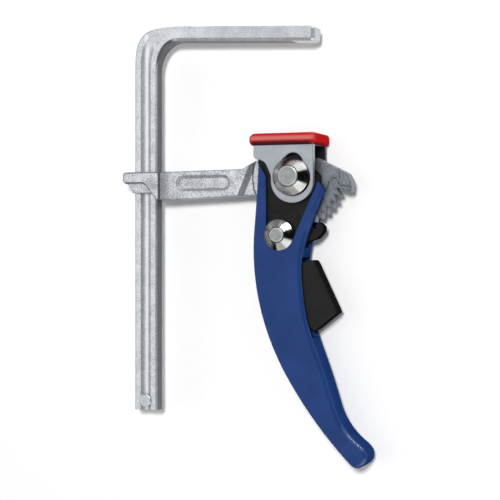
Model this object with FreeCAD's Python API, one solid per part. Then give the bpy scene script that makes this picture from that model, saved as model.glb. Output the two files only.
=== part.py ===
import FreeCAD, Part
import math
import os

os.makedirs("parts", exist_ok=True)

# Ratchet lever clamp, lying on its back face. Millimetres, +Z up.
# Everything is laid out from the main pivot, with the clamp's middle plane at z = 0,
# and is moved at the end so that the lowest point is at z = 0, under the middle of the box.

# Rail: a grooved bar, forged into the fixed jaw at its upper end
rail_width = 14.0
rail_thick = 8.5
rail_centre_x = -91.6
rail_end_y = -133.4
rail_chamfer = 0.9
groove_share = 0.44
groove_depth = 1.3
bend_start_y = 62.0
bend_outer_power = 3.5
bend_inner_power = 2.1

# Fixed jaw
jaw_top_y = 87.7
jaw_root_x = -70.6
jaw_height = 8.4
jaw_depth = 14.0
jaw_length = 80.5
jaw_droop = 2.6
jaw_chamfer = 1.5
jaw_nose = 1.8
jaw_nose_side = 0.7
jaw_groove_depth = 0.03

# Stop pin near the rail's lower end
stop_pin_y = -128.0
stop_pin_radius = 2.5
stop_head_radius = 3.7
stop_head_height = 1.6
stop_head_edge = 0.4

# Clearances
rail_play = 0.3
running_play = 0.3
bracket_play = 0.4
pin_play = 0.05
press_gap = 0.02

# Sliding arm
eye_wall = 5.9
eye_right_x = -81.6
eye_ramp_end_x = -73.0
eye_step = 1.3
eye_edge = 0.9
eye_half = 8.5
lip_half = 7.0
web_half = 6.0
head_rim_half = 4.5
head_half = 4.0
tooth_half = 3.4
arm_top_y = 4.2
arm_low_y = -12.0
head_top_y = 10.4
head_face_radius = 25.6
shoulder_run = 3.2
shoulder_low_x = -35.6
shoulder_high_x = -25.6
pocket_left_x = -72.0
pocket_right_x = -38.4
pocket_low_y = -7.1
pocket_high_y = 1.9
pocket_depth = 1.5
pocket_slope = 2.2
pocket_side_slope = 1.5

# Ratchet
tooth_tip_radius = 28.0
tooth_root_radius = 24.0
tooth_pitch = 9.1
tooth_count = 8
first_tip_angle = -21.8
steep_angle = 2.6
tooth_edge = 0.3
rim_radius = 19.2

# Handle, a channel pressed from sheet
sheet = 2.0
handle_half = 9.3
handle_round = 3.2
lip_round = 0.7
slot_half = 5.5
trigger_slot_top = -45.0
trigger_slot_low = -89.5
pawl_slot_low = -39.5
pawl_slot_left_x = 2.5

# Cam plates riveted inside the handle
cam_plate_gap = 0.3
cam_rise = 7.6
cam_first_angle = 43.0
cam_last_angle = 107.0

# Pivot pin, its bushes and its cone washer
pivot_radius = 5.0
bush_radius = 6.0
cone_radius = 10.5
cone_rim = 0.8
cone_height = 5.8
pivot_disc_radius = 5.5
back_head_radius = 10.6
back_head_height = 2.4
back_head_edge = 1.6

# Pawl pin and its cone washer
pawl_pin_x = -8.3
pawl_pin_y = -32.4
pawl_pin_radius = 3.0
pawl_cone_radius = 8.7
pawl_cone_height = 4.4
pawl_disc_radius = 4.0
pawl_head_radius = 6.5
pawl_head_height = 1.8
pawl_head_edge = 1.2
pawl_spigot_wall = 1.5

# Pawl and its trigger
pawl_half = 3.6
pawl_hub_radius = 4.9
pawl_tooth_gap = 0.4
pawl_tooth_depth = 3.2
first_pawl_tooth = -62.5
pawl_recess_z = 0.6
trigger_half = 6.0
trigger_round = 0.9

# Torsion spring round the pawl pin, hooked into the pawl and the front cam plate
spring_wire = 0.8
spring_radius = 4.6
spring_turns = 2.5
spring_sides = 6
spring_hook = 1.6

# Pad bracket and pad
bracket_plate = 3.0
bracket_left_x = -22.1
bracket_right_x = 12.8
bracket_under_y = 17.5
ring_radius = 12.3
ring_centre_y = -2.3
bracket_bend = 2.6
pad_travel_up = 1.6
pad_travel_down = 5.6
float_hole_radius = 10.0
float_hole_x = 1.0
float_hole_y = -0.8
lobe_radius = 5.8
pad_left = 2.8
pad_right = 1.8
pad_height = 6.7
pad_overhang = 2.3
pad_corner = 4.0
pad_crown = 1.8
pad_lip = 2.4
pad_slope_run = 3.4
pad_slope_drop = 2.4

# Values worked out from the ones above
rail_left_x = rail_centre_x - rail_width / 2
rail_right_x = rail_centre_x + rail_width / 2
cheek_inner = handle_half - sheet
cam_plate_low = head_half + cam_plate_gap
bracket_inner = handle_half + bracket_play
bracket_outer = bracket_inner + bracket_plate
cone_base = bracket_outer + running_play
bush_end = cone_base
cam_height = bracket_under_y - running_play

V = FreeCAD.Vector
UP = V(0, 0, 1)


def polar(radius, degrees):
    angle = math.radians(degrees)
    return (radius * math.cos(angle), radius * math.sin(angle))


def outline(corners, z):
    """Closed wire through (x, y, radius) corners, each with its own round."""
    stretches = []
    for i, (x, y, radius) in enumerate(corners):
        before = corners[i - 1]
        after = corners[(i + 1) % len(corners)]
        corner = V(x, y, z)
        if radius <= 0:
            stretches.append((corner, corner, corner))
            continue
        back = V(before[0] - x, before[1] - y, 0).normalize()
        ahead = V(after[0] - x, after[1] - y, 0).normalize()
        half = back.getAngle(ahead) / 2
        inward = (back + ahead).normalize()
        centre = corner + inward * (radius / math.sin(half))
        run = radius / math.tan(half)
        stretches.append((corner + back * run, centre - inward * radius, corner + ahead * run))
    edges = []
    for i, (start, middle, end) in enumerate(stretches):
        if start.distanceToPoint(end) > 1e-6:
            edges.append(Part.Arc(start, middle, end).toShape())
        following = stretches[(i + 1) % len(stretches)][0]
        if end.distanceToPoint(following) > 1e-6:
            edges.append(Part.LineSegment(end, following).toShape())
    return Part.Wire(edges)


def prism(corners, low, high):
    return Part.Face(outline(corners, low)).extrude(V(0, 0, high - low))


def both_sides(corners, low, high):
    """Two equal plates, one each side of the middle plane."""
    return prism(corners, low, high), prism(corners, -high, -low)


def disc(x, y, radius, low, high):
    return Part.makeCylinder(radius, high - low, V(x, y, low), UP)


def turned(x, y, profile):
    """Solid of revolution about a vertical axis, from (radius, z) points."""
    points = [V(x + radius, y, z) for radius, z in profile]
    wire = Part.makePolygon(points + [points[0]])
    return Part.Face(wire).revolve(V(x, y, 0), UP, 360)


def smooth(points, z):
    curve = Part.BSplineCurve()
    curve.interpolate([V(x, y, z) for x, y in points])
    return curve.toShape()


def edges_at(shape, test):
    return [edge for edge in shape.Edges if test(edge.BoundBox)]


# Rail

def bar_section(outer, inner, thick, chamfer, groove):
    """Bar section between an outer and an inner edge point, with a groove in both faces."""
    across = inner - outer
    width = across.Length
    across = across.normalize()
    groove_half = groove_share * width / 2

    def at(u, z):
        return outer + across * u + V(0, 0, z)

    half = thick / 2
    middle = width / 2
    near = middle - groove_half
    far = middle + groove_half
    loop = [at(chamfer, half), at(near, half), at(far, half), at(width - chamfer, half),
            at(width, half - chamfer), at(width, chamfer - half),
            at(width - chamfer, -half), at(far, -half), at(near, -half), at(chamfer, -half),
            at(0, chamfer - half), at(0, half - chamfer)]
    edges = []
    for i, start in enumerate(loop):
        end = loop[(i + 1) % len(loop)]
        if i == 1:
            edges.append(Part.Arc(start, at(middle, half - groove), end).toShape())
        elif i == 7:
            edges.append(Part.Arc(start, at(middle, groove - half), end).toShape())
        else:
            edges.append(Part.LineSegment(start, end).toShape())
    return Part.Wire(edges)


def corner_curve(start, end, share, power):
    """Point on a rounded corner that leaves start along +Y and reaches end along +X."""
    angle = share * math.pi / 2
    x = end.x - (end.x - start.x) * math.cos(angle) ** (2 / power)
    y = start.y + (end.y - start.y) * math.sin(angle) ** (2 / power)
    return V(x, y, 0)


def make_rail():
    droop = math.radians(jaw_droop)
    along = V(math.cos(droop), -math.sin(droop), 0)
    down = V(-math.sin(droop), -math.cos(droop), 0)
    outer_start = V(rail_left_x, bend_start_y, 0)
    inner_start = V(rail_right_x, bend_start_y, 0)
    outer_end = V(jaw_root_x, jaw_top_y, 0)
    inner_end = outer_end + down * jaw_height
    sections = []
    steps = 10
    for i in range(steps + 1):
        share = i / steps
        ease = share * share * (3 - 2 * share)
        outer = corner_curve(outer_start, outer_end, share, bend_outer_power)
        inner = corner_curve(inner_start, inner_end, share, bend_inner_power)
        thick = rail_thick + (jaw_depth - rail_thick) * ease
        chamfer = rail_chamfer + (jaw_chamfer - rail_chamfer) * ease
        groove = groove_depth * (1 - ease) + jaw_groove_depth * ease
        sections.append(bar_section(outer, inner, thick, chamfer, groove))
    straight = Part.Face(sections[0]).extrude(V(0, rail_end_y - bend_start_y, 0))
    bend = Part.makeLoft(sections, True, False)
    jaw = Part.Face(sections[-1]).extrude(along * jaw_length)
    end = outer_end + along * jaw_length
    tip = end + along * jaw_nose
    base = bar_section(end, end + down * jaw_height, jaw_depth, jaw_chamfer, jaw_groove_depth)
    crown = bar_section(tip + down * jaw_nose_side, tip + down * (jaw_height - jaw_nose_side),
                        jaw_depth - 2 * jaw_nose, jaw_chamfer / 2, jaw_groove_depth)
    nose = Part.makeLoft([base, crown], True, True)
    rail = straight.fuse([bend, jaw, nose])
    hole = disc(rail_centre_x, stop_pin_y, stop_pin_radius + press_gap, -eye_half, eye_half)
    return rail.cut(hole).removeSplitter()


def make_stop_pin():
    face = rail_thick / 2
    top = face + stop_head_height
    edge = stop_head_edge
    return turned(rail_centre_x, stop_pin_y, [
        (0, -top), (stop_head_radius - edge, -top), (stop_head_radius, -top + edge),
        (stop_head_radius, -face), (stop_pin_radius, -face), (stop_pin_radius, face),
        (stop_head_radius, face), (stop_head_radius, top - edge),
        (stop_head_radius - edge, top), (0, top)])


# Sliding arm

def sector_corners():
    """Head of the arm with the ratchet's saw teeth, centred on the main pivot."""
    corners = [(-32.0, arm_top_y + 0.7, 6.0), (-22.0, head_top_y, 4.0), (12.2, head_top_y, 2.0),
               (29.6, 1.6, 3.0), (32.0, -3.0, 2.0), (32.0, -8.6, 0.8)]
    for i in range(tooth_count):
        tip = first_tip_angle - i * tooth_pitch
        root = tip + tooth_pitch - steep_angle
        corners.append(polar(tooth_root_radius, root) + (0,))
        corners.append(polar(tooth_tip_radius, tip) + (tooth_edge,))
    last = first_tip_angle - tooth_count * tooth_pitch
    corners.append(polar(tooth_root_radius, last + tooth_pitch - steep_angle) + (0,))
    corners.append((-10.0, -21.0, 6.0))
    corners.append((-24.0, arm_low_y + 2.2, 5.0))
    corners.append((-32.0, arm_low_y + 2.0, 0))
    return corners


def make_eye():
    left = rail_left_x - eye_wall
    lip = [(left + 0.3, arm_top_y, 1.5), (eye_right_x, arm_top_y, 0), (eye_right_x, arm_low_y, 0),
           (-83.0, arm_low_y, 1.5), (-87.0, -8.0, 2.5), (-98.2, -8.0, 2.5), (-101.0, -3.0, 2.0),
           (left + 0.3, -2.0, 1.0)]
    boss = [(left, arm_top_y, 2.0), (eye_right_x, arm_top_y, 0), (eye_right_x, arm_low_y, 0),
            (-83.5, arm_low_y, 1.0), (-91.0, -2.2, 4.0), (left, -2.2, 2.2)]
    eye = prism(lip, -lip_half, lip_half)
    raised = prism(boss, -eye_half, eye_half)
    faces = edges_at(raised, lambda box: box.ZLength < 0.1)
    raised = raised.makeFillet(eye_edge, faces)
    ramp = outline([(eye_right_x - 2.0, eye_half - eye_step, 0),
                    (eye_right_x + 1.5, eye_half - eye_step, 0),
                    (eye_ramp_end_x, web_half, 0), (eye_ramp_end_x, -web_half, 0),
                    (eye_right_x + 1.5, eye_step - eye_half, 0),
                    (eye_right_x - 2.0, eye_step - eye_half, 0)], 0)
    ramp.rotate(V(0, 0, 0), V(1, 0, 0), 90)
    ramp = Part.Face(ramp.translated(V(0, arm_top_y, 0))).extrude(V(0, arm_low_y - arm_top_y, 0))
    return eye.fuse([raised, ramp])


def pocket(z_face, z_floor):
    """Long rounded dish in the web's face, with sloping walls."""
    wires = []
    for z, inset in ((z_face, 0.0), (z_floor, 1.0)):
        low_y = pocket_low_y + inset * pocket_side_slope
        high_y = pocket_high_y - inset * pocket_side_slope
        round_off = (high_y - low_y) / 2 - 0.05
        left = pocket_left_x + inset * pocket_slope
        right = pocket_right_x - inset * pocket_slope
        wires.append(outline([(left, low_y, round_off), (right, low_y, round_off),
                              (right, high_y, round_off), (left, high_y, round_off)], z))
    return Part.makeLoft(wires, True, True)


def shoulder_cut(face):
    """Wedge that slopes the web's face down to the head along a slanted line."""
    low_end = V(shoulder_low_x, arm_low_y - 1, 0)
    high_end = V(shoulder_high_x, head_top_y + 0.6, 0)
    along = high_end - low_end
    across = V(along.y, -along.x, 0).normalize()
    run = across * shoulder_run
    section = [low_end + V(0, 0, web_half), low_end + run + V(0, 0, head_rim_half),
               low_end + run * 4 + V(0, 0, head_rim_half), low_end + run * 4 + V(0, 0, web_half + 2),
               low_end - run + V(0, 0, web_half + 2), low_end - run * 0.01 + V(0, 0, web_half)]
    wedge = Part.Face(Part.makePolygon(section + [section[0]])).extrude(along)
    return wedge if face > 0 else wedge.mirror(V(0, 0, 0), UP)


def make_arm():
    web = prism([(eye_ramp_end_x - 2, arm_top_y, 0), (-31.5, arm_top_y + 0.7, 5.0),
                 (-20.5, 10.2, 0), (-26.5, arm_low_y + 2.2, 0),
                 (eye_ramp_end_x - 2, arm_low_y, 0)], -web_half, web_half)
    web = web.cut([shoulder_cut(1), shoulder_cut(-1)])
    head = prism(sector_corners(), -head_rim_half, head_rim_half)
    arm = web.fuse([make_eye(), head])
    overlap = 0.5
    high_face = web_half + overlap
    for face in (1, -1):
        skim = Part.makeCylinder(head_face_radius, overlap * 4, V(0, 0, face * head_half),
                                 V(0, 0, face))
        arm = arm.cut(skim)
        rim = prism([polar(rim_radius, -8.5) + (0,), (22.9, 0.2, 1.6), (25.4, -5.0, 1.0),
                     (40.0, -6.0, 0), (40.0, -40.0, 0), (-12.0, -40.0, 0), (-12.0, -12.0, 0)],
                    tooth_half, high_face)
        rim = rim.cut(disc(0, 0, rim_radius, 0, high_face * 2))
        if face < 0:
            rim = rim.mirror(V(0, 0, 0), UP)
        arm = arm.cut(rim)
        arm = arm.cut(pocket(face * (web_half + 0.01), face * (web_half - pocket_depth)))
    rail_slot = Part.makeBox(rail_width + 2 * rail_play, 60, rail_thick + 2 * rail_play,
                             V(rail_left_x - rail_play, -30, -rail_thick / 2 - rail_play))
    bore = disc(0, 0, pivot_radius + pin_play, -head_half * 2, head_half * 2)
    return arm.cut([rail_slot, bore]).removeSplitter()


# Handle

# Points that the smooth arcs of its outline pass through, listed from the top, in the middle plane
LEFT_EDGE = [(-19.7, 20.0), (-23.1, -30.0), (-20.3, -69.9), (-4.6, -110.0), (29.0, -154.8),
             (33.0, -158.8), (37.2, -160.7)]
LEFT_HEADING = -93.2
SPINE_EDGE = [(24.8, 9.0), (8.8, -30.0), (4.6, -52.1), (12.7, -94.9), (23.4, -126.1),
              (38.2, -147.2)]
SPINE_HEADING = -112.8
NOSE_EDGE = [(41.2, -150.2), (39.6, -159.3), (33.2, -163.3)]
HANDLE_TOP_Y = 9.0
GRIP_SOLID_END = (23.0, -143.5)
CLEAR_X = 75.0


def arc_chain(points, heading, z, inset=0.0):
    """Edges of arcs that run on smoothly from a first heading, moved to their left by inset."""
    edges = []
    angle = math.radians(heading)
    for (x0, y0), (x1, y1) in zip(points, points[1:]):
        chord = math.atan2(y1 - y0, x1 - x0)
        turn = (chord - angle + math.pi) % (2 * math.pi) - math.pi
        after = angle + 2 * turn
        sag = math.hypot(x1 - x0, y1 - y0) / 2 * math.tan(turn / 2)
        start = V(x0 - inset * math.sin(angle), y0 + inset * math.cos(angle), z)
        end = V(x1 - inset * math.sin(after), y1 + inset * math.cos(after), z)
        middle = V((x0 + x1) / 2 + (sag - inset) * math.sin(chord),
                   (y0 + y1) / 2 - (sag - inset) * math.cos(chord), z)
        edges.append(Part.Arc(start, middle, end).toShape())
        angle = after
    return edges


def closed_by(edges, corners, z):
    """Face of the edges, closed through the corners."""
    first = edges[0].Vertexes[0].Point
    last = edges[-1].Vertexes[-1].Point
    points = [last] + [V(x, y, z) for x, y in corners] + [first]
    lines = [Part.LineSegment(p, q).toShape() for p, q in zip(points, points[1:])]
    return Part.Face(Part.Wire(edges + lines))


def make_handle():
    z = -handle_half
    edges = arc_chain(SPINE_EDGE + NOSE_EDGE, SPINE_HEADING, z)
    low_y = NOSE_EDGE[-1][1]
    block = closed_by(edges, [(-CLEAR_X, low_y), (-CLEAR_X, HANDLE_TOP_Y)], z)
    solid = block.extrude(V(0, 0, 2 * handle_half))
    corner = edges_at(solid, lambda box: box.ZLength < 0.1 and box.XMin > -CLEAR_X
                      and box.XMax > SPINE_EDGE[2][0])
    corner = [edge for edge in corner if edge.Curve.TypeId == "Part::GeomCircle"]
    solid = solid.makeFillet(handle_round, corner)

    edges = arc_chain(LEFT_EDGE, LEFT_HEADING, z)
    block = closed_by(edges, [(CLEAR_X, LEFT_EDGE[-1][1]), (CLEAR_X, LEFT_EDGE[0][1])], z)
    trim = block.extrude(V(0, 0, 2 * handle_half))
    lip = [edge for edge in edges_at(trim, lambda box: box.ZLength < 0.1)
           if edge.Curve.TypeId == "Part::GeomCircle"]
    solid = solid.common(trim.makeFillet(lip_round, lip))

    z = -cheek_inner
    edges = arc_chain(SPINE_EDGE, SPINE_HEADING, z, -sheet)
    corners = [GRIP_SOLID_END, (-CLEAR_X, GRIP_SOLID_END[1] - sheet), (-CLEAR_X, HANDLE_TOP_Y)]
    hollow = closed_by(edges, corners, z).extrude(V(0, 0, 2 * cheek_inner))
    solid = solid.cut(hollow)

    window = [(-60, 30, 0), (-60, 6.8, 0), (-20.0, 6.8, 1.4), (-16.1, 0.5, 4.0),
              (-15.9, -37.0, 6.0), (-1.0, -37.0, 6.0), (14.6, -2.2, 0.8), (17.8, -7.6, 0),
              (60, -7.6, 0), (60, 30, 0)]
    solid = solid.cut(prism(window, -handle_half - 1, handle_half + 1))
    pawl_slot = Part.makeBox(60, 60, 2 * slot_half, V(pawl_slot_left_x, pawl_slot_low, -slot_half))
    trigger_slot = Part.makeBox(60, trigger_slot_top - trigger_slot_low, 2 * cheek_inner,
                                V(-20, trigger_slot_low, -cheek_inner))
    return solid.cut([pawl_slot, trigger_slot]).removeSplitter()


# Cam plates

def cam_point(degrees):
    """Point of the cam whose tangent lies square to the given direction: a steady rise."""
    angle = math.radians(degrees)
    reach = cam_height + cam_rise * (angle - math.pi / 2)
    x = reach * math.cos(angle) - cam_rise * math.sin(angle)
    y = reach * math.sin(angle) + cam_rise * math.cos(angle)
    return (x, y)


def spring_hole(low, high):
    """Hole for the spring's upper hook."""
    x, y = polar(spring_radius, 360 * spring_turns)
    return disc(pawl_pin_x + x, pawl_pin_y + y, spring_wire / 2 + press_gap, low, high)


def make_cam_plate(low, high):
    steps = 12
    span = cam_last_angle - cam_first_angle
    crest = [cam_point(cam_first_angle + span * i / steps) for i in range(steps + 1)]
    z = low
    edges = [smooth(crest, z)]
    sides = [crest[-1], (-19.6, 11.4), (-21.6, 8.6), (-19.6, 3.0), (-19.9, -30.0), (-16.0, -42.0),
             (0.6, -42.0), (4.8, -33.6), (9.6, -20.6), (13.2, -12.0), (14.8, -6.0), (14.8, 0.6),
             crest[0]]
    for start, end in zip(sides, sides[1:]):
        edges.append(Part.LineSegment(V(*start, z), V(*end, z)).toShape())
    plate = Part.Face(Part.Wire(edges)).extrude(V(0, 0, high - low))
    plate = plate.cut(disc(0, 0, pivot_radius + press_gap, low - 1, high + 1))
    return plate.cut(disc(pawl_pin_x, pawl_pin_y, pawl_pin_radius + press_gap, low - 1, high + 1))


# Pins and washers

def make_pivot_pin():
    top = cone_base + cone_height
    head = -cone_base - back_head_height
    return turned(0, 0, [
        (0, head), (back_head_radius - back_head_edge, head),
        (back_head_radius, head + back_head_edge / 2),
        (back_head_radius, -cone_base), (pivot_radius, -cone_base), (pivot_radius, top),
        (pivot_disc_radius, top), (pivot_disc_radius, top + 0.5),
        (pivot_disc_radius - 0.4, top + 0.9), (0, top + 0.9)])


def make_cone(x, y, bore, outer, crown, base, height):
    return turned(x, y, [
        (bore, base), (outer - 0.4, base), (outer, base + 0.3), (outer, base + cone_rim),
        (crown + 0.5, base + height), (bore, base + height)])


def make_bush(low, high):
    ring = disc(0, 0, bush_radius, low, high)
    return ring.cut(disc(0, 0, pivot_radius + press_gap, low - 1, high + 1))


def make_pawl_pin():
    top = handle_half + pawl_cone_height
    head = -handle_half - pawl_head_height
    return turned(pawl_pin_x, pawl_pin_y, [
        (0, head), (pawl_head_radius - pawl_head_edge, head),
        (pawl_head_radius, head + pawl_head_edge / 2),
        (pawl_head_radius, -handle_half), (pawl_pin_radius, -handle_half),
        (pawl_pin_radius, top), (pawl_disc_radius, top), (pawl_disc_radius, top + 0.4),
        (pawl_disc_radius - 0.4, top + 0.8), (0, top + 0.8)])


def make_pawl_cone():
    cone = make_cone(pawl_pin_x, pawl_pin_y, pawl_pin_radius + press_gap, pawl_cone_radius,
                     pawl_disc_radius, handle_half, pawl_cone_height)
    spigot = disc(pawl_pin_x, pawl_pin_y, pawl_pin_radius + pawl_spigot_wall, cheek_inner,
                  handle_half)
    spigot = spigot.cut(disc(pawl_pin_x, pawl_pin_y, pawl_pin_radius + press_gap, 0, 20))
    return cone.fuse(spigot).removeSplitter()


# Pawl and trigger

def make_pawl():
    tips = tooth_tip_radius + pawl_tooth_gap
    roots = tips + pawl_tooth_depth
    corners = [(15.8, -30.5, 2.5), (12.0, -34.6, 4.0), (4.6, -36.4, 3.0), (2.0, -42.0, 3.0),
               (4.4, -52.0, 0), (5.6, -60.0, 1.5), (-0.6, -60.0, 1.5), (-3.0, -45.0, 4.0),
               (-11.4, -36.0, 3.0), (-11.6, -29.6, 1.5), (-6.0, -28.8, 0), (1.0, -31.0, 1.5)]
    for i in (1, 0):
        tip = first_pawl_tooth - i * tooth_pitch
        corners.append(polar(roots, tip - tooth_pitch + steep_angle) + (0.4,))
        corners.append(polar(tips, tip) + (0.3,))
    corners.append(polar(roots, first_pawl_tooth + steep_angle - 0.6) + (0.8,))
    body = prism(corners, -pawl_half, pawl_half)
    hub = disc(pawl_pin_x, pawl_pin_y, pawl_hub_radius, -pawl_half, pawl_half)
    bore = disc(pawl_pin_x, pawl_pin_y, pawl_pin_radius + pin_play, -pawl_half * 2, pawl_half * 2)
    recess = disc(pawl_pin_x, pawl_pin_y, spring_radius + spring_wire + running_play,
                  pawl_recess_z, pawl_half * 2)
    hook_hole = disc(pawl_pin_x + spring_radius, pawl_pin_y, spring_wire / 2 + 2 * running_play,
                     pawl_recess_z - spring_hook - running_play, pawl_half)
    return body.fuse(hub).cut([bore, recess, hook_hole]).removeSplitter()


def make_pawl_spring():
    """Coil between the pawl and the front cam plate, with a hook along the pin at each end."""
    wire = spring_wire / 2
    low = pawl_recess_z + running_play + wire
    high = cam_plate_low - running_play - wire
    centre = V(pawl_pin_x, pawl_pin_y, 0)
    coil = Part.makeHelix((high - low) / spring_turns, high - low, spring_radius)
    coil = coil.translated(centre + V(0, 0, low))
    start = centre + V(spring_radius, 0, low)
    rim = [start + V(x, 0, z) for x, z in (polar(wire, 360 * i / spring_sides)
                                           for i in range(spring_sides))]
    section = Part.makePolygon(rim + [rim[0]])
    spring = Part.Wire(coil.Edges).makePipeShell([section], True, True)
    end = centre + V(*polar(spring_radius, 360 * spring_turns), high)
    for point, far in ((start, pawl_recess_z - spring_hook), (end, cheek_inner)):
        spring = spring.fuse(Part.makeSphere(wire * 1.1, point))
        foot = min(point.z, far)
        hook = disc(point.x, point.y, wire, foot, max(point.z, far))
        spring = spring.fuse(hook)
    return spring.removeSplitter()


def make_trigger(pawl):
    corners = [(1.0, -48.0, 1.5), (10.4, -46.2, 1.6), (24.4, -75.4, 1.2), (10.8, -86.0, 1.2),
               (4.6, -80.0, 4.0), (0.6, -66.0, 8.0)]
    body = prism(corners, -trigger_half, trigger_half)
    long_edges = edges_at(body, lambda box: box.ZLength < 0.1 and box.XMax > 11
                          and box.DiagonalLength > 8)
    body = body.makeFillet(trigger_round, long_edges)
    return body.cut(pawl).removeSplitter()


# Pad bracket and pad

def make_bracket():
    top = bracket_under_y + bracket_plate
    ring_x = bracket_right_x - ring_radius
    ring_y = ring_centre_y
    corners = [(bracket_left_x, top, 0), (bracket_left_x, 10.2, 2.6), (-15.4, 8.8, 6.0),
               (ring_x - ring_radius, 0.5, 5.0), (ring_x - ring_radius, ring_y, 0),
               (bracket_right_x, ring_y, 0), (bracket_right_x, top, 0)]
    cheeks = []
    cheeks.extend(both_sides(corners, bracket_inner, bracket_outer))
    for low in (bracket_inner, -bracket_outer):
        cheeks.append(disc(ring_x, ring_y, ring_radius, low, low + bracket_plate))
    web = Part.makeBox(bracket_right_x - bracket_left_x, bracket_plate, 2 * bracket_outer,
                       V(bracket_left_x, bracket_under_y, -bracket_outer))
    bracket = web.fuse(cheeks).removeSplitter()
    bends = edges_at(bracket, lambda box: box.YMin > top - 0.01 and box.XLength > 30)
    bracket = bracket.makeFillet(bracket_bend, bends)
    half = bush_radius + running_play
    reach = bracket_outer + 1
    low_end = -pad_travel_up - half - running_play
    high_end = pad_travel_down + half + running_play
    slot = prism([(-half, low_end, half - 0.01), (half, low_end, half - 0.01),
                  (half, high_end, half - 0.01), (-half, high_end, half - 0.01)],
                 -reach, reach)
    hole = disc(float_hole_x, float_hole_y, float_hole_radius, -reach, reach)
    lobe = disc(float_hole_x, high_end - lobe_radius + 1.0, lobe_radius, -reach, reach)
    right = float_hole_x + lobe_radius
    link = prism([(float_hole_x, 0, 0), (9.4, 4.0, 0), (right - 0.6, high_end - 3.4, 0),
                  (float_hole_x, high_end - 3.4, 0)], -reach, reach)
    return bracket.cut([slot, hole, lobe, link]).removeSplitter()


def make_pad():
    low = bracket_under_y
    half = bracket_outer + pad_overhang
    left = bracket_left_x - pad_left
    right = bracket_right_x + pad_right
    plan = outline([(left, -half, pad_corner), (right, -half, pad_corner),
                    (right, half, pad_corner), (left, half, pad_corner)], 0)
    plan.rotate(V(0, 0, 0), V(1, 0, 0), 90)
    pad = Part.Face(plan.translated(V(0, low, 0))).extrude(V(0, pad_height, 0))
    pad = pad.makeFillet(pad_crown, edges_at(pad, lambda box: box.YMin > low + 1))
    pad = pad.makeFillet(pad_lip, edges_at(pad, lambda box: box.YMax < low + 1))
    top = low + pad_height
    slope = prism([(left - 1, top - pad_slope_drop * (1 + 1 / pad_slope_run), 0),
                   (left + pad_slope_run, top, 0), (left + pad_slope_run, top + 1, 0),
                   (left - 1, top + 1, 0)], -half - 1, half + 1)
    seat = Part.makeBox(bracket_right_x - bracket_left_x, bracket_plate, 2 * bracket_outer,
                        V(bracket_left_x, low, -bracket_outer))
    return pad.cut([slope, seat]).removeSplitter()


# Build, seat on the floor and write out

pawl = make_pawl()
pieces = {
    "rail": make_rail(),
    "stop_pin": make_stop_pin(),
    "sliding_arm": make_arm(),
    "handle": make_handle(),
    "cam_plate_front": make_cam_plate(cam_plate_low, cheek_inner).cut(spring_hole(0, handle_half)),
    "cam_plate_back": make_cam_plate(-cheek_inner, -cam_plate_low),
    "pivot_pin": make_pivot_pin(),
    "pivot_bush_front": make_bush(cheek_inner, bush_end),
    "pivot_bush_back": make_bush(-bush_end, -cheek_inner),
    "pivot_washer": make_cone(0, 0, pivot_radius + press_gap, cone_radius, pivot_disc_radius,
                              cone_base, cone_height),
    "pawl_pin": make_pawl_pin(),
    "pawl_washer": make_pawl_cone(),
    "pawl_spring": make_pawl_spring(),
    "release_pawl": pawl,
    "trigger": make_trigger(pawl),
    "pad_bracket": make_bracket(),
    "pad": make_pad(),
}

box = Part.makeCompound(list(pieces.values())).BoundBox
shift = V(-(box.XMin + box.XMax) / 2, -(box.YMin + box.YMax) / 2, -box.ZMin)
print("main pivot at", round(shift.x, 3), round(shift.y, 3), round(shift.z, 3))
for name, shape in pieces.items():
    placed = shape.translated(shift)
    print(name, "solids", len(placed.Solids), "valid", placed.isValid(),
          "cm3", round(placed.Volume / 1000, 3))
    placed.exportStep("parts/" + name + ".step")
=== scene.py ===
import math

import bpy
from mathutils import Matrix, Vector


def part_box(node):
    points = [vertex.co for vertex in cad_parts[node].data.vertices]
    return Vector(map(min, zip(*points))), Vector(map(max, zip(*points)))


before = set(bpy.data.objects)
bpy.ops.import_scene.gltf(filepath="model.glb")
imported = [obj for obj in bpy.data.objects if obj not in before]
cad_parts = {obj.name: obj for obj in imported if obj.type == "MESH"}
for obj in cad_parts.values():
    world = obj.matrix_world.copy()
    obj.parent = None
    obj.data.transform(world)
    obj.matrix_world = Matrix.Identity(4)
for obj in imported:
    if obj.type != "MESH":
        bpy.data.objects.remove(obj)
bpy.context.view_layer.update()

MM = 0.001
WHITE = (1, 1, 1, 1)

# Photograph: lens, distance and slant of the camera that took it
SENSOR_WIDTH = 36.0
FOCAL_LENGTH = 108.0
CAMERA_DISTANCE = 0.8523
CAMERA_SLANT = math.radians(20)
AIM_FROM_PIVOT = Vector((-0.0288, -0.0408, 0))

# Studio: each lamp has a direction, a distance, a width, a height and a radiance
KEY = (Vector((0.21, 0.155, 1.0)), 1.6, 0.22, 0.22, 126.0)
TOP_BOX = (Vector((-0.36, 0.0, 0.93)), 1.5, 0.8, 0.8, 0.80)
LEFT_BOX = (Vector((-0.84, 0.0, 0.54)), 1.5, 1.6, 0.85, 0.90)
HIGH_STRIP = (Vector((0.52, 0.84, 0.28)), 0.8, 0.70, 0.40, 1.1)
LOW_STRIP = (Vector((0.61, -0.78, 0.28)), 0.8, 0.66, 0.40, 1.1)
TUBE = (Vector((0.45, 0.80, 0.45)), 0.8, 0.60, 0.03, 60.0)
ROOM_LIGHT = 0.17

# Flags, which only reflections show: azimuths and elevations in degrees, and a grey
RIGHT_FLAG = ((-34, 29), (1, 79), 12)
LOW_FLAG = ((-152, -114), (-2, 46), 12)
HIGH_FLAG = ((98, 140), (-2, 40), 190)
FLAG_DISTANCE = 1.0
FLAG_COLUMNS = 12
FLAG_ROWS = 6

# Floor: it turns plain white between these distances from the pivot
FLOOR_SIZE = 8.0
FLOOR_FADE = (0.45, 1.0)


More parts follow.
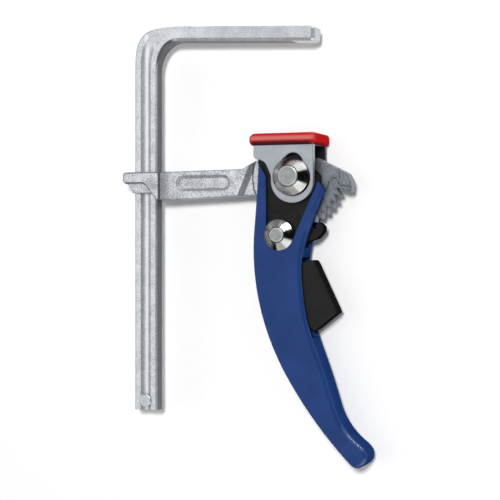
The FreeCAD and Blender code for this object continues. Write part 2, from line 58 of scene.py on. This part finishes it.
def box_middle(node):
    low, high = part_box(node)
    return (low + high) / 2


def pin_axis(node):
    """Middle of a pin that stands along Z, at the clamp's middle plane."""
    middle = box_middle(node)
    return Vector((middle.x, middle.y, box_middle("sliding_arm").z))


PIVOT = pin_axis("pivot_pin")
PIVOT_DISC = 5.5 * MM
PAWL_PIN = pin_axis("pawl_pin")
PAWL_DISC = 4.0 * MM

# Rail and arm, along X from the pivot: colour, mostly painted shade, changes between a pair's
# two values
GROOVE_CORNER = -85.4 * MM
JAW_REACH = (-62 * MM, -40 * MM)
JAW_TIP = (-4 * MM, 0)
RAMP_START = (-82.6 * MM, -81.6 * MM)
RAMP_END = (-79.5 * MM, -73.5 * MM)
ARM_HEAD = (-24 * MM, -20 * MM)

GROOVE_HIGHLIGHT_X = PIVOT.x - 90.6 * MM
GROOVE_HIGHLIGHT_HALF_WIDTH = (0.4 * MM, 2.2 * MM)
POCKET_X = PIVOT.x - 55.2 * MM
POCKET_Y = PIVOT.y - 2.6 * MM
POCKET_HALF_LENGTH = (16.8 * MM, 17.6 * MM)
POCKET_HALF_WIDTH = (4.5 * MM, 5.1 * MM)
BRACKET_HALF_WIDTH = 12.5 * MM

ZINC_GRAIN = 0.8 * MM
ZINC_METAL = 0.92


def rgb(red, green, blue):
    """Colour as seen, 0 to 255, in the shader's own linear light."""
    linear = [((c / 255 + 0.055) / 1.055) ** 2.4 if c > 10 else c / 255 / 12.92
              for c in (red, green, blue)]
    return (*linear, 1.0)


# Finishes, and colours of painted shade and highlights: a cloudy one has a darker and a lighter
# colour
RAIL_ZINC = rgb(192, 195, 200), rgb(228, 231, 235)
STUD_ZINC = rgb(190, 198, 201), rgb(214, 222, 225)
ARM_ZINC = rgb(160, 162, 168), rgb(228, 230, 235)
SHEET_ZINC = rgb(166, 171, 178), rgb(180, 185, 193)
# Painted shade and a painted highlight for the zinc parts
EDGE_SHADE_ZINC = rgb(84, 86, 92)
GROOVE_HIGHLIGHT_ZINC = rgb(248, 251, 252)
RAIL_SHADE = rgb(66, 67, 74)
ARM_SHADE = rgb(88, 94, 104)
FOLD_SHADE = rgb(72, 72, 80)
BLUE_COAT = rgb(29, 56, 110), rgb(34, 62, 119)
BLUE_EDGE_SHADE = rgb(20, 34, 72)
BLACK_OXIDE = rgb(18, 18, 19), rgb(28, 28, 29)
CONE_STEEL = rgb(156, 155, 154), rgb(174, 173, 171)
CONE_SEAT_SHADE = rgb(30, 30, 31)
PLAIN_STEEL = rgb(148, 151, 153), rgb(168, 171, 172)
PIN_RIM_HIGHLIGHT = rgb(214, 216, 216)
NYLON = rgb(20, 20, 21), rgb(29, 29, 30)
NYLON_EDGE_HIGHLIGHT = rgb(96, 96, 100)
RED = rgb(180, 24, 30), rgb(196, 34, 38)
RED_SHEEN = rgb(200, 112, 108)
RED_LIP_SHADE = rgb(46, 16, 18)


# Shader expressions

class Shade:
    """A node socket that can be used in arithmetic: each operator adds a Math node."""

    def __init__(self, nodes, socket):
        self.nodes = nodes
        self.socket = socket

    def math(self, operation, *others):
        return self.nodes.math(operation, self, *others)

    def __add__(self, other):
        return self.math("ADD", other)

    def __radd__(self, other):
        return self.math("ADD", other)

    def __sub__(self, other):
        return self.math("SUBTRACT", other)

    def __rsub__(self, other):
        return self.nodes.math("SUBTRACT", other, self)

    def __mul__(self, other):
        return self.math("MULTIPLY", other)

    def __rmul__(self, other):
        return self.math("MULTIPLY", other)

    def __truediv__(self, other):
        return self.math("DIVIDE", other)

    def most(self, *others):
        """The largest of this value and the others."""
        result = self
        for other in others:
            result = result.math("MAXIMUM", other)
        return result

    def step(self, low, high):
        """0 below low and 1 above high, smooth between."""
        return self.nodes.node("ShaderNodeMapRange", {"interpolation_type": "SMOOTHSTEP"},
                               Value=self, **{"From Min": low, "From Max": high})


class Nodes:
    """A shader's node tree, built node by node."""

    def __init__(self, tree):
        self.tree = tree

    def feed(self, slot, value):
        if isinstance(value, Shade):
            self.tree.links.new(value.socket, slot)
        else:
            slot.default_value = value

    def node(self, kind, settings=None, output=0, **inputs):
        """Any node: its settings are set first, then its sockets, by name or number."""
        node = self.tree.nodes.new(kind)
        for name, value in (settings or {}).items():
            setattr(node, name, value)
        for name, value in inputs.items():
            slot = node.inputs[int(name[1:])] if name[0] == "_" else node.inputs[name]
            self.feed(slot, value)
        return Shade(self, node.outputs[output])

    def math(self, operation, *values):
        slots = {f"_{number}": value for number, value in enumerate(values)}
        return self.node("ShaderNodeMath", {"operation": operation}, **slots)

    def is_seen(self):
        """1 for what the camera sees, itself or in metal or glass."""
        rays = [self.node("ShaderNodeLightPath", output=f"Is {kind} Ray")
                for kind in ("Camera", "Glossy", "Transmission")]
        return rays[0].most(*rays[1:])


class Paint(Nodes):
    """One material on its own Principled shader."""

    def __init__(self, name, **looks):
        self.material = bpy.data.materials.new(name)
        self.material.use_nodes = True
        super().__init__(self.material.node_tree)
        self.shader = self.tree.nodes["Principled BSDF"]
        for socket, value in looks.items():
            self.set(socket.replace("_", " "), value)

    def set(self, socket, value):
        self.feed(self.shader.inputs[socket], value)

    def place(self):
        return self.node("ShaderNodeTexCoord", output="Object")

    def axis(self, letter):
        return self.node("ShaderNodeSeparateXYZ", output=letter, Vector=self.place())

    def off(self, letter, place):
        """Distance along an axis from a place on it, to either side."""
        return (self.axis(letter) - place).math("ABSOLUTE")

    def turned(self, letter):
        """1 where the surface faces along an axis, 0 where it lies along it, -1 against it."""
        normal = self.node("ShaderNodeTexCoord", output="Normal")
        return self.node("ShaderNodeSeparateXYZ", output=letter, Vector=normal)

    def facing(self, letter):
        """1 where the surface faces along or against an axis."""
        return self.turned(letter).math("ABSOLUTE")

    def from_axis(self, centre):
        """Distance from an axis that stands along Z."""
        across = self.axis("X") - centre.x
        along = self.axis("Y") - centre.y
        return (across * across + along * along).math("SQRT")

    def edges(self, radius):
        """1 along the edges, over about this radius, and 0 on the faces between them."""
        rounded = self.node("ShaderNodeBevel", Radius=radius)
        flat = self.node("ShaderNodeNewGeometry", output="Normal")
        along = self.node("ShaderNodeVectorMath", {"operation": "DOT_PRODUCT"}, output="Value",
                          _0=rounded, _1=flat)
        return (1 - along).step(0.01, 0.12)

    def noise(self, size, detail=3.0, rough=0.55, stretch=(1, 1, 1)):
        """Cloudy noise whose patches are about size across, in metres."""
        place = self.node("ShaderNodeMapping", Vector=self.place(), Scale=stretch)
        return self.node("ShaderNodeTexNoise", output="Fac", Vector=place, Scale=1 / size,
                         Detail=detail, Roughness=rough)

    def mix(self, share, first, second):
        return self.node("ShaderNodeMix", {"data_type": "RGBA"}, output=2, _0=share, _6=first,
                         _7=second)

    def face_gloss(self, weight):
        """Clear gloss on the front and back faces, and none on the sides."""
        self.set("Coat Weight", self.facing("Z").step(0.10, 0.60) * weight)

    def bump(self, height, distance, round_edge):
        """Relief over edges that look rounded to this radius."""
        rounded = self.node("ShaderNodeBevel", Radius=round_edge)
        self.set("Normal", self.node("ShaderNodeBump", Height=height, Distance=distance,
                                     Normal=rounded))


# Materials

def zinc(name, colours, relief, round_edge, edge_shade, shade=None, paler_edges=None, highlight_x=None):
    """Zinc plate on forged or rolled steel: a fine bright and dark grain with small dents.

    Its edges are painted darker, a painted shade, less so where the mask for paler edges is 1.
    shade gives painted shade: the parts that are darker and duller. A painted highlight runs
    as a bright stripe along the rail's groove, at the place given along X."""
    paint = Paint(name, Specular_IOR_Level=0.2)
    speck = paint.noise(ZINC_GRAIN, detail=5.0, rough=0.7)
    patch = paint.noise(ZINC_GRAIN * 9, detail=2.0)
    dents = paint.noise(ZINC_GRAIN * 2.2, detail=4.0, rough=0.6)
    tone = (speck * 0.75 + patch * 0.25).step(0.38, 0.60)
    # Painted shade along the edges
    edge = paint.edges(1.2 * round_edge) * edge_shade
    if paler_edges:
        edge = edge * (1 - 0.75 * paler_edges(paint))
    colour = paint.mix(edge, paint.mix(tone, *colours), EDGE_SHADE_ZINC)
    metal = ZINC_METAL
    # Painted highlight: a bright stripe along the rail's groove
    if highlight_x:
        off_highlight = paint.off("X", highlight_x).step(*GROOVE_HIGHLIGHT_HALF_WIDTH)
        highlight = (1 - off_highlight) * paint.facing("Z").step(0.9, 0.98)
        colour = paint.mix(highlight * 0.7, colour, GROOVE_HIGHLIGHT_ZINC)
    # Painted shade from the shade function: darker and duller parts
    if shade:
        amount, tint, dullness = shade(paint)
        colour = paint.mix(amount, colour, tint)
        metal = ZINC_METAL - dullness * amount
    paint.set("Base Color", colour)
    paint.set("Metallic", metal)
    paint.set("Roughness", 0.36 + 0.14 * (1 - tone))
    paint.bump(speck * 0.5 + dents * 0.5, relief, round_edge)
    return paint.material


def rail_painted_shade(paint):
    """Painted shade: the rail's inner side, its groove's walls and the jaw are darker and
    duller.
    """
    reach = paint.axis("X") - PIVOT.x
    before_tip = 1 - reach.step(*JAW_TIP)
    inner = (paint.turned("X") - paint.turned("Y")).step(0.78, 0.95)
    off_corner = paint.off("X", PIVOT.x + GROOVE_CORNER).step(0.8 * MM, 1.3 * MM)
    walls = paint.facing("X").step(0.10, 0.40) * off_corner * 0.45
    jaw = reach.step(*JAW_REACH) * 0.2
    amount = (inner.most(walls) * before_tip).most(jaw)
    return amount * 0.92, RAIL_SHADE, 0.7


def pocket_zone(paint):
    """1 over the dished pocket of the arm's web, and 0 around it."""
    beyond_ends = paint.off("X", POCKET_X).step(*POCKET_HALF_LENGTH)
    beyond_sides = paint.off("Y", POCKET_Y).step(*POCKET_HALF_WIDTH)
    return (1 - beyond_ends) * (1 - beyond_sides)


def arm_tone_and_shade(paint):
    """The arm's head is darker than its faces; its slopes and the ramp beside its eye get
    painted shade.

    The pocket's slopes get less painted shade than the others, and its left end gets painted
    shade and is dull."""
    reach = paint.axis("X") - PIVOT.x
    head = reach.step(*ARM_HEAD) * 0.76
    ramp = reach.step(*RAMP_START) * (1 - reach.step(*RAMP_END)) * 0.62
    pocket = pocket_zone(paint)
    left_end = paint.turned("X").step(0.05, 0.25) * pocket
    slopes = (1 - paint.facing("Z").step(0.955, 0.995)) * (0.62 - 0.38 * pocket)
    return head.most(slopes, ramp, left_end * 0.5), ARM_SHADE, left_end * 1.6


def blue_paint():
    """Powder coat, glossy on its faces and rubbed dull down the narrow spine."""
    paint = Paint("blue_paint", Metallic=0.0, Specular_IOR_Level=0.0, Coat_Roughness=0.06)
    cloud = paint.noise(18 * MM, detail=2.0)
    peel = paint.noise(1.1 * MM, detail=2.0)
    coat = paint.mix(cloud.step(0.3, 0.7), *BLUE_COAT)
    # Painted shade along the edges
    paint.set("Base Color", paint.mix(paint.edges(0.6 * MM) * 0.45, coat, BLUE_EDGE_SHADE))
    paint.set("Roughness", 0.5 + 0.08 * cloud)
    face = paint.facing("Z")
    rounding = 1 - face.step(0.90, 0.98)
    paint.set("Coat Weight", face.step(0.35, 0.70) * (0.28 + 0.72 * rounding))
    paint.bump(peel, 0.015 * MM, 0.4 * MM)
    return paint.material


def black_steel(name, round_edge):
    """Black oxide on steel, with a little gloss on its faces."""
    paint = Paint(name, Metallic=0.0, Specular_IOR_Level=0.0, Coat_Roughness=0.3)
    cloud = paint.noise(5 * MM, detail=4.0)
    fine = paint.noise(0.5 * MM)
    paint.set("Base Color", paint.mix(cloud.step(0.35, 0.7), *BLACK_OXIDE))
    paint.set("Roughness", 0.42 + 0.14 * cloud)
    paint.face_gloss(0.3)
    paint.bump(fine, 0.02 * MM, round_edge)
    return paint.material


def cone_steel(name, centre, disc_radius):
    """Polished cone of a turned washer, with fine turning rings and painted shade at its seat.
    """
    paint = Paint(name, Metallic=1.0)
    cloud = paint.noise(4 * MM)
    radius = paint.from_axis(centre)
    rings = paint.node("ShaderNodeTexNoise", {"noise_dimensions": "1D"}, W=radius,
                       Scale=1 / (0.35 * MM), Detail=2.0)
    # Painted shade at the seat around the pin
    seat = 1 - radius.step(disc_radius + 0.2 * MM, disc_radius + 0.9 * MM)
    steel = paint.mix(cloud.step(0.3, 0.7), *CONE_STEEL)
    paint.set("Base Color", paint.mix(seat * 0.9, steel, CONE_SEAT_SHADE))
    paint.set("Roughness", 0.10 + 0.08 * cloud)
    paint.bump(rings, 0.018 * MM, 0.25 * MM)
    return paint.material


def pin_steel(name, centre, disc_radius):
    """Plain pin with a painted highlight around its riveted face."""
    paint = Paint(name, Metallic=0.8)
    cloud = paint.noise(2.5 * MM, detail=4.0)
    fine = paint.noise(0.4 * MM)
    # Painted highlight around the riveted face
    rim = paint.from_axis(centre).step(disc_radius - 0.9 * MM, disc_radius - 0.3 * MM)
    steel = paint.mix(cloud.step(0.3, 0.7), *PLAIN_STEEL)
    paint.set("Base Color", paint.mix(rim * 0.7, steel, PIN_RIM_HIGHLIGHT))
    paint.set("Roughness", 0.42 + 0.14 * fine)
    paint.bump(fine, 0.02 * MM, 0.3 * MM)
    return paint.material


def black_plastic():
    """Moulded nylon with a fine grain, a little glossy on its faces, and a painted highlight
    along its edges.
    """
    paint = Paint("black_plastic", Metallic=0.0, Specular_IOR_Level=0.0, Coat_Roughness=0.3)
    grain = paint.noise(0.35 * MM)
    cloud = paint.noise(6 * MM)
    nylon = paint.mix(cloud, *NYLON)
    # Painted highlight along the edges
    paint.set("Base Color", paint.mix(paint.edges(0.6 * MM) * 0.3, nylon, NYLON_EDGE_HIGHLIGHT))
    paint.set("Roughness", 0.5 + 0.12 * cloud)
    paint.face_gloss(0.32)
    paint.bump(grain, 0.03 * MM, 0.5 * MM)
    return paint.material


def red_plastic():
    """Soft red plastic: a painted highlight across its front and back, painted shade at the
    lower lip.
    """
    paint = Paint("red_plastic", Metallic=0.0, Specular_IOR_Level=0.0, Coat_Roughness=0.22)
    grain = paint.noise(0.5 * MM)
    cloud = paint.noise(7 * MM)
    low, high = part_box("pad")
    up = (paint.axis("Y") - low.y) / (high.y - low.y)
    face = paint.facing("Z").step(0.45, 0.95)
    # Painted highlight band across the front and back
    sheen = face * up.step(0.32, 0.52) * (1 - up.step(0.62, 0.86))
    # Painted shade at the lower lip
    lip = (1 - up.step(0.20, 0.48)) * (1 - paint.facing("X"))
    colour = paint.mix(sheen * 0.85, paint.mix(cloud, *RED), RED_SHEEN)
    paint.set("Base Color", paint.mix(lip * 0.95, colour, RED_LIP_SHADE))
    paint.set("Roughness", 0.45 + 0.10 * cloud)
    paint.face_gloss(0.3)
    paint.bump(grain, 0.02 * MM, 0.7 * MM)
    return paint.material


def sheet_zinc():
    """Smooth zinc-plated sheet of the bracket: satin, with faint rolling lines.

    Inside the fold the sheet carries painted shade."""
    paint = Paint("plate_zinc", Metallic=0.9)
    depth = paint.off("Z", PIVOT.z)
    above = (paint.axis("Z") - PIVOT.z).step(0, 1 * MM)
    # Painted shade inside the fold
    inside = (1 - depth.step(BRACKET_HALF_WIDTH - 0.2 * MM, BRACKET_HALF_WIDTH)) * (1 - above)
    lines = paint.noise(0.7 * MM, stretch=(1, 0.12, 1))
    cloud = paint.noise(8 * MM)
    sheet = paint.mix(cloud.step(0.3, 0.7), *SHEET_ZINC)
    paint.set("Base Color", paint.mix(inside, sheet, FOLD_SHADE))
    paint.set("Roughness", 0.34 + 0.12 * cloud)
    paint.bump(lines, 0.015 * MM, 0.9 * MM)
    return paint.material


def dress(material, *nodes):
    for name in nodes:
        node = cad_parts[name]
        node.data.materials.clear()
        node.data.materials.append(material)


def dress_all():
    dress(zinc("rail_zinc", RAIL_ZINC, 0.05 * MM, 0.4 * MM, 0.45, shade=rail_painted_shade,
               highlight_x=GROOVE_HIGHLIGHT_X), "rail")
    dress(zinc("stud_zinc", STUD_ZINC, 0.02 * MM, 0.5 * MM, 0.4), "stop_pin")
    dress(zinc("arm_zinc", ARM_ZINC, 0.10 * MM, 0.9 * MM, 0.85, shade=arm_tone_and_shade,
               paler_edges=pocket_zone), "sliding_arm")
    dress(blue_paint(), "handle")
    dress(black_steel("black_steel", 0.3 * MM), "cam_plate_front", "cam_plate_back")
    dress(black_steel("pawl_steel", 0.4 * MM), "release_pawl")
    dress(cone_steel("pivot_cone", PIVOT, PIVOT_DISC), "pivot_washer")
    dress(cone_steel("pawl_cone", PAWL_PIN, PAWL_DISC), "pawl_washer")
    dress(pin_steel("pivot_steel", PIVOT, PIVOT_DISC), "pivot_pin", "pivot_bush_front",
          "pivot_bush_back")
    dress(pin_steel("pawl_pin_steel", PAWL_PIN, PAWL_DISC), "pawl_pin", "pawl_spring")
    dress(black_plastic(), "trigger")
    dress(sheet_zinc(), "pad_bracket")
    dress(red_plastic(), "pad")


# Studio

def make_floor():
    """White sheet: it keeps the clamp's shadow, and far from the clamp it is plain white."""
    mesh = bpy.data.meshes.new("floor")
    half = FLOOR_SIZE / 2
    mesh.from_pydata([(-half, -half, 0), (half, -half, 0), (half, half, 0), (-half, half, 0)],
                     [], [(0, 1, 2, 3)])
    floor = bpy.data.objects.new("floor", mesh)
    bpy.context.scene.collection.objects.link(floor)
    paint = Paint("floor", Base_Color=WHITE, Roughness=1.0, Specular_IOR_Level=0.0)
    far = paint.from_axis(PIVOT).step(*FLOOR_FADE)
    white = paint.node("ShaderNodeEmission", Color=WHITE, Strength=1.0)
    shown = paint.node("ShaderNodeMixShader", _0=paint.is_seen() * far,
                       _1=Shade(paint, paint.shader.outputs[0]), _2=white)
    paint.feed(paint.tree.nodes["Material Output"].inputs["Surface"], shown)
    mesh.materials.append(paint.material)


def make_sky():
    """Even room light, and plain white where the camera, metal or glass looks at it."""
    world = bpy.data.worlds.new("sky")
    bpy.context.scene.world = world
    world.use_nodes = True
    sky = Nodes(world.node_tree)
    room = sky.node("ShaderNodeBackground", Color=WHITE, Strength=ROOM_LIGHT)
    white = sky.node("ShaderNodeBackground", Color=WHITE, Strength=1.0)
    shown = sky.node("ShaderNodeMixShader", _0=sky.is_seen(), _1=room, _2=white)
    sky.feed(sky.tree.nodes["World Output"].inputs["Surface"], shown)


def between(ends, share):
    return ends[0] + (ends[1] - ends[0]) * share


def make_flag(name, azimuths, elevations, grey):
    """Curved card around the clamp, seen by nothing but shiny surfaces."""
    points = []
    for row in range(FLAG_ROWS + 1):
        rise = math.radians(between(elevations, row / FLAG_ROWS))
        for column in range(FLAG_COLUMNS + 1):
            turn = math.radians(between(azimuths, column / FLAG_COLUMNS))
            direction = Vector((math.cos(turn) * math.cos(rise), math.sin(turn) * math.cos(rise),
                                math.sin(rise)))
            points.append(PIVOT + direction * FLAG_DISTANCE)
    wide = FLAG_COLUMNS + 1
    corners = [i + j * wide for j in range(FLAG_ROWS) for i in range(FLAG_COLUMNS)]
    mesh = bpy.data.meshes.new(name)
    mesh.from_pydata(points, [], [(c, c + 1, c + 1 + wide, c + wide) for c in corners])
    card = bpy.data.objects.new(name, mesh)
    card.visible_camera = False
    card.visible_diffuse = False
    card.visible_shadow = False
    bpy.context.scene.collection.objects.link(card)
    mesh.materials.append(Paint(name, Base_Color=rgb(grey, grey, grey), Roughness=1.0,
                                Specular_IOR_Level=0.0).material)


def softbox(name, direction, distance, width, height, radiance, mirrored=True, lights=True):
    """Rectangular lamp that faces the pivot. Shiny surfaces show it only if it is mirrored."""
    lamp = bpy.data.lights.new(name, "AREA")
    lamp.shape = "RECTANGLE"
    lamp.size = width
    lamp.size_y = height
    lamp.energy = radiance * math.pi * width * height
    light = bpy.data.objects.new(name, lamp)
    light.location = PIVOT + direction.normalized() * distance
    light.rotation_euler = (-direction).to_track_quat("-Z", "Y").to_euler()
    light.visible_glossy = mirrored
    light.visible_diffuse = lights
    bpy.context.scene.collection.objects.link(light)


def make_camera():
    lens = bpy.data.cameras.new("camera")
    lens.sensor_width = SENSOR_WIDTH
    lens.lens = FOCAL_LENGTH
    camera = bpy.data.objects.new("camera", lens)
    aim = PIVOT + AIM_FROM_PIVOT
    back = Vector((math.sin(CAMERA_SLANT), 0, math.cos(CAMERA_SLANT)))
    up = Vector((0, 1, 0))
    turn = Matrix((up.cross(back), up, back)).transposed().to_4x4()
    camera.matrix_world = Matrix.Translation(aim + back * CAMERA_DISTANCE) @ turn
    bpy.context.scene.collection.objects.link(camera)
    bpy.context.scene.camera = camera


bpy.context.scene.view_settings.view_transform = "Standard"
make_camera()
make_floor()
make_sky()
make_flag("right_flag", *RIGHT_FLAG)
make_flag("low_flag", *LOW_FLAG)
make_flag("high_flag", *HIGH_FLAG)
softbox("key", *KEY, mirrored=False)
softbox("top_box", *TOP_BOX, mirrored=False)
softbox("left_box", *LEFT_BOX, mirrored=False)
softbox("high_strip", *HIGH_STRIP)
softbox("low_strip", *LOW_STRIP)
softbox("tube", *TUBE, lights=False)
dress_all()
